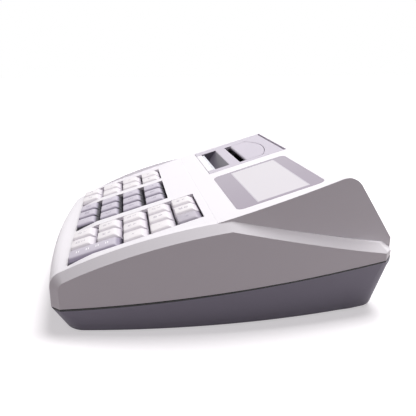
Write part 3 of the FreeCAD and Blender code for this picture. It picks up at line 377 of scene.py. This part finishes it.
WHITE = srgb(238, 235, 240)
FINISHES = {name: maker(name, *values) for name, maker, *values in (
    ("white_housing", moulded, WHITE, 0.4, 2400, 0.00002, 0.97),
    ("dark_tray", tray_moulding),
    ("tinted_window", window_panel),
    ("lcd_glass", display_glass),
    ("inner_plastic", moulded, srgb(78, 76, 84), 0.5, 1500, 0.00003, 0.85),
    ("silicone", ground_rubber, srgb(186, 186, 192), 0.5, 1200),
    ("circuit_board", circuit_sheet),
    ("steel", drawn_metal, srgb(200, 200, 206), 0.3, (900, 12, 900)),
    ("foot_rubber", ground_rubber, srgb(38, 38, 40), 0.8, 1800),
    ("battery_wrap", moulded, srgb(44, 66, 122), 0.3, 500, 0.00003, 0.8, 0.4),
    ("cover_plastic", cover_moulding),
    ("platen_rubber", ground_rubber, srgb(44, 43, 47), 0.7, 2600),
    ("head_metal", drawn_metal, srgb(190, 190, 196), 0.35, (12, 900, 900)),
    ("motor_metal", drawn_metal, srgb(172, 172, 178), 0.4, (900, 900, 16)),
    # The keys' slope and foot colours are painted shade: darker copies of the top for the shade on their
    # sides and in the gaps between keys. On the number keys, the near-black foot is also their dark body.
    ("white_keys", moulded_key, srgb(234, 230, 233), srgb(226, 221, 227), srgb(176, 169, 180)),
    ("number_keys", moulded_key, srgb(198, 192, 205), srgb(154, 147, 166), srgb(34, 31, 41), 0.0021),
    ("grey_key", moulded_key, srgb(194, 188, 201), srgb(152, 144, 164), srgb(72, 67, 82)),
    ("light_grey_key", moulded_key, srgb(184, 178, 189), srgb(160, 153, 167), srgb(84, 79, 92)),
)}


def add_object(name, data):
    """A new object in the scene, at the origin."""
    made = bpy.data.objects.new(name, data)
    bpy.context.scene.collection.objects.link(made)
    return made


def shade(work, sharp_angle):
    """Shade smoothly, but for edges sharper than an angle in degrees."""
    for edge in work.edges:
        edge.smooth = edge.calc_face_angle(0.0) < math.radians(sharp_angle)
    for face in work.faces:
        face.smooth = True


def dress_nodes():
    """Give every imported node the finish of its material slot."""
    for name, node in frame["nodes"].items():
        if not node.material_slots:
            node.data.materials.append(None)
        for place in node.material_slots:
            place.link = "OBJECT"
            place.material = FINISHES[SLOTS[name]]


def deck_matrix(x, along, out):
    """The placement of something that lies on the keypad deck."""
    turn = Matrix.Rotation(DECK_ANGLE, 4, "X")
    return Matrix.Translation(DECK_FRONT) @ turn @ Matrix.Translation((x, along, out))


def keycap(key, x, along, rows):
    """A keycap as rings of a rounded rectangle that shrinks towards the flat top.

    Each ring: half width and half depth times (|cos|^p, |sin|^p) with the signs kept, a squared-off
    ellipse, slid forwards as the long rear slope leans in. The last rings close over the top and,
    below the skirt, draw in to the square stem that reaches through the guide plate.
    """
    half_x = PITCH / 2 - KEY_MARGIN
    half_y = rows * PITCH / 2 - KEY_MARGIN
    pole = 1e-5
    corners = 48
    # (height out of the deck, half width, half depth, shift along, power p)
    rings = np.array([
        (STEM_REACH, pole, pole, 0.0, 0.1),
        (STEM_REACH, STEM_HALF, STEM_HALF, 0.0, 0.1),
        (KEY_SKIRT, STEM_HALF, STEM_HALF, 0.0, 0.1),
        (KEY_SKIRT, half_x, half_y, 0.0, 0.06),
        (KEY_TOP - 0.0034, half_x - 0.0003, half_y - 0.0003, 0.0, 0.08),
        (KEY_TOP - 0.0006, half_x - 0.0022, half_y - 0.0021, -0.0012, 0.12),
        (KEY_TOP - 0.0002, half_x - 0.0026, half_y - 0.0026, KEY_LEAN, 0.14),
        (KEY_TOP, half_x - 0.0031, half_y - 0.0032, KEY_LEAN, 0.16),
        (KEY_TOP, pole, pole, KEY_LEAN, 0.3)])
    height, half_width, half_depth, shift, power = (rings[:, i:i + 1] for i in range(5))
    turn = (np.arange(corners) + 0.5) * 2 * np.pi / corners
    cosine, sine = np.cos(turn), np.sin(turn)
    across = half_width * np.sign(cosine) * np.abs(cosine) ** power
    depth = half_depth * np.sign(sine) * np.abs(sine) ** power + shift
    points = np.stack([across, depth, np.broadcast_to(height, across.shape)], axis=-1)
    level, step = np.meshgrid(np.arange(len(rings) - 1) * corners, np.arange(corners), indexing="ij")
    after = (step + 1) % corners
    faces = np.stack([level + step, level + after, level + corners + after, level + corners + step], axis=-1)
    mesh = bpy.data.meshes.new("cap_" + key)
    mesh.from_pydata(points.reshape(-1, 3).tolist(), [], faces.reshape(-1, 4).tolist())
    mesh.transform(deck_matrix(x, along, 0.0))
    work = bmesh.new()
    work.from_mesh(mesh)
    bmesh.ops.remove_doubles(work, verts=work.verts, dist=0.00003)
    bmesh.ops.recalc_face_normals(work, faces=work.faces)
    shade(work, 30)
    work.to_mesh(mesh)
    work.free()
    mesh.materials.append(FINISHES[SLOTS[key]])
    piece = add_object("cap_" + key, mesh)
    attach(piece, key)
    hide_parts(key)


def eased(value, start, length):
    """0 before start, 1 past start + length, and 3t^2 - 2t^3 between them."""
    share = np.clip((value - start) / length, 0.0, 1.0)
    return share * share * (3 - 2 * share)


def bowed_nose(start):
    """Carry the nose forwards by the bow times 1 - (x / half width)^2, from `start` before the middle."""
    def bend(points):
        bow = np.clip(1 - (points[:, 0] / NOSE_HALF) ** 2, 0.0, 1.0)
        points[:, 1] -= NOSE_BOW * bow * eased(-points[:, 1], start, NOSE_EASE)
    return bend


def long_tail(points):
    """Stretch the rear end back, evenly from the block's crest to the rear wall."""
    points[:, 1] += TAIL_STRETCH * np.clip((points[:, 1] - CREST) / CREST_TO_REAR, 0.0, 1.0)


def steep_tail(points):
    """Carry the tray's rear end back, most at the floor, running out to nothing at the brim."""
    share = np.clip(1 - (points[:, 2] - TRAY_FLOOR) / TRAY_DEPTH, 0.0, 1.0)
    points[:, 1] += FOOT_STRETCH * share * eased(points[:, 1], FOOT_FROM, FOOT_EASE)


def deep_cover(points):
    """Carry the cover's rear edge back, where it meets the housing behind the hinge."""
    cosine, sine = math.cos(DECK_ANGLE), math.sin(DECK_ANGLE)
    back, up = points[:, 1] - DECK_FRONT.y, points[:, 2] - DECK_FRONT.z
    along, out = back * cosine + up * sine, up * cosine - back * sine
    moved = COVER_STRETCH * (along > COVER_REAR) * (out > COVER_SKIN)
    points[:, 1] += moved * cosine
    points[:, 2] += moved * sine


def open_rims(work):
    """Every open rim of a mesh, as its corners in order."""
    left = {edge for edge in work.edges if edge.is_boundary}
    rims = []
    while left:
        start, corner = left.pop().verts
        rim = [start]
        while corner != start:
            rim.append(corner)
            edge = next(edge for edge in corner.link_edges if edge in left)
            left.remove(edge)
            corner = edge.other_vert(corner)
        rims.append(rim)
    return rims


def close_side_wells(work):
    """Close the two rear screw wells of the tray, which would break out through its drafted sides.

    A rim that runs over the floor and up a side is closed by two faces, one in each, so the edge stays.
    """
    def in_a_well(corner):
        x, y, z = corner.co
        return (abs(x) - WELL_X) ** 2 + (y - WELL_Y) ** 2 < WELL_RADIUS ** 2 and z < WELL_TOP

    walls = [face for face in work.faces if all(in_a_well(corner) for corner in face.verts)]
    bmesh.ops.delete(work, geom=walls, context="FACES")
    for rim in open_rims(work):
        low = min(corner.co.z for corner in rim) + 0.00005
        flat = [corner.co.z < low for corner in rim]
        turns = [i for i in range(len(rim)) if flat[i] and not (flat[i - 1] and flat[(i + 1) % len(rim)])]
        if len(turns) == 2 and 1 < turns[1] - turns[0] < len(rim) - 1:
            work.faces.new(rim[turns[0]:turns[1] + 1])
            work.faces.new(rim[turns[1]:] + rim[:turns[0] + 1])
        else:
            work.faces.new(rim)
    bmesh.ops.recalc_face_normals(work, faces=work.faces)


def reshaped(node, body, *bends, mended=None):
    """A copy of a packed shell, cut into narrow strips at its ends and bent by the given functions."""
    work = bmesh.new()
    work.from_mesh(frame["nodes"][node].data)
    bmesh.ops.remove_doubles(work, verts=work.verts, dist=0.000002)
    if mended:
        mended(work)
    for axis, places in STRIP_CUTS:
        for place in places:
            middle, across = [0.0, 0.0, 0.0], [0.0, 0.0, 0.0]
            middle[axis], across[axis] = place, 1.0
            bmesh.ops.bisect_plane(work, geom=work.verts[:] + work.edges[:] + work.faces[:], dist=0.000002,
                                   plane_co=middle, plane_no=across)
    bmesh.ops.triangulate(work, faces=work.faces)
    points = np.array([corner.co for corner in work.verts])
    for bend in bends:
        bend(points)
    for corner, point in zip(work.verts, points):
        corner.co = point
    work.normal_update()
    shade(work, 24)
    mesh = bpy.data.meshes.new(node + "_shell")
    work.to_mesh(mesh)
    work.free()
    mesh.materials.clear()
    mesh.materials.append(FINISHES[SLOTS[node]])
    piece = add_object(node + "_shell", mesh)
    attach(piece, body)
    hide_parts(node)


def legend(key, words, size, x, along, ink):
    """Printed characters on a keycap: flat letters with a hair of thickness, sunk into the cap's top."""
    outline = bpy.data.curves.new("legend_" + key, "FONT")
    outline.body = words
    outline.size = size
    outline.extrude = 0.00003
    outline.resolution_u = 3
    outline.align_x = "CENTER"
    outline.align_y = "CENTER"
    flat = add_object("flat_" + key, outline)
    bpy.context.view_layer.update()
    mesh = bpy.data.meshes.new_from_object(flat.evaluated_get(bpy.context.evaluated_depsgraph_get()))
    bpy.data.objects.remove(flat)
    mesh.transform(deck_matrix(x, along, KEY_TOP))
    mesh.materials.clear()
    mesh.materials.append(ink)
    piece = add_object("legend_" + key, mesh)
    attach(piece, key)


def key_places():
    """Every key's centre on the deck, across and along."""
    def centre(block, column, row):
        return BLOCK_LEFTS[block] + (column + 0.5) * PITCH, (row + 0.5) * PITCH

    places = {"total_key": (BLOCK_LEFTS["right"] + 2.5 * PITCH, PITCH)}
    right_column = {2: "subtotal_key", 3: "void_key", 4: "paper_feed_key"}
    middle = (("zero_key", "double_zero_key", "decimal_key"),
              ("number_key_1", "number_key_2", "number_key_3"),
              ("number_key_4", "number_key_5", "number_key_6"),
              ("number_key_7", "number_key_8", "number_key_9"))
    for row in range(5):
        for column in range(2):
            places["department_key_%d" % (row * 2 + column + 1)] = centre("right", column, row)
        if row in right_column:
            places[right_column[row]] = centre("right", 2, row)
        if row < len(middle):
            for column, name in enumerate(middle[row]):
                places[name] = centre("middle", column, row)
            for column in range(2):
                places["function_key_%d" % (row * 2 + column + 1)] = centre("left", column, row)
    return places


def fit_keys():
    """Put the keycaps and their plain numbers and arithmetic signs in place."""
    dark = printed_ink("grey_ink", srgb(150, 143, 160))
    white = printed_ink("white_ink", srgb(246, 244, 248))
    words = {"zero_key": "0", "double_zero_key": "00", "decimal_key": ".", "total_key": "=\n=\n=\n=",
             "subtotal_key": "+", "void_key": "-", "paper_feed_key": "\u2191"}
    words.update({"number_key_%d" % n: str(n) for n in range(1, 10)})
    words.update({"department_key_%d" % n: "%d\n%d" % (n, n + 10) for n in range(1, 11)})
    words.update({"function_key_%d" % n: sign for n, sign in enumerate("C%*/<>#&", 1)})
    for key, (x, along) in key_places().items():
        rows, size, ink = 1, 0.0036, dark
        if key == "total_key":
            rows, size, ink = 2, 0.0062, white
        elif key.startswith(("number", "zero", "double", "decimal")):
            size = 0.0056
        keycap(key, x, along, rows)
        legend(key, words[key], size, x, along + KEY_LEAN, ink)


def stage():
    """A pale floor: it keeps the object's shadow near the object and fades to plain white further out."""
    finish = Finish("floor")
    x, y, _ = finish.axes()
    far = (x * x + y * y).root().ramp(0.16, 0.25)
    glow = finish.between((0.5, 0.49, 0.5, 1.0), (1.0, 1.0, 1.0, 1.0), far)
    seen = finish.seen()
    finish.surface(
        Base_Color=finish.between(srgb(150, 143, 146), srgb(205, 203, 205), seen),
        Emission_Color=finish.between((0.0, 0.0, 0.0, 1.0), glow, seen),
        Emission_Strength=1.0, Roughness=0.95, Specular_IOR_Level=0.0)
    half = 4.0
    mesh = bpy.data.meshes.new("floor")
    corners = [(-half, -half, 0), (half, -half, 0), (half, half, 0), (-half, half, 0)]
    mesh.from_pydata(corners, [], [(0, 1, 2, 3)])
    mesh.materials.append(finish.material)
    add_object("floor", mesh)


def surroundings():
    """A plain dim room for light, shown as white to the camera and in reflections."""
    room = Finish("room", bpy.data.worlds, "Background")
    bpy.context.scene.world = room.surface(
        Color=room.between((0.185, 0.165, 0.171, 1.0), (1.0, 1.0, 1.0, 1.0), room.seen()))


def softbox(name, at, towards, width, power):
    """A square soft lamp that faces a point."""
    lamp = bpy.data.lights.new(name, "AREA")
    lamp.shape = "SQUARE"
    lamp.size = width
    lamp.energy = power
    holder = add_object(name, lamp)
    holder.location = at
    holder.rotation_euler = (Vector(towards) - Vector(at)).to_track_quat("-Z", "Y").to_euler()


def set_camera():
    """The photograph's viewpoint: from the operator's right, a little above the machine."""
    turn, dip = math.radians(9.73), math.radians(17.26)
    sight = Vector((-math.cos(turn) * math.cos(dip), math.sin(turn) * math.cos(dip), -math.sin(dip)))
    lens = bpy.data.cameras.new("camera")
    lens.lens = 41.62
    lens.sensor_width = 36.0
    lens.clip_start = 0.01
    camera = add_object("camera", lens)
    camera.location = (0.3534, -0.0568, 0.1602)
    camera.rotation_euler = sight.to_track_quat("-Z", "Y").to_euler()
    bpy.context.scene.camera = camera


set_camera()
dress_nodes()
fit_keys()
reshaped("top_housing", "case", bowed_nose(0.0966), long_tail)
reshaped("base_tray", "case", bowed_nose(0.0908), steep_tail, long_tail, mended=close_side_wells)
reshaped("paper_cover", "paper_cover", deep_cover)
stage()
surroundings()
softbox("overhead", (-0.1, 0.33, 1.45), (0.0, 0.0, 0.03), 0.65, 24.5)
bpy.context.scene.view_settings.view_transform = "Standard"
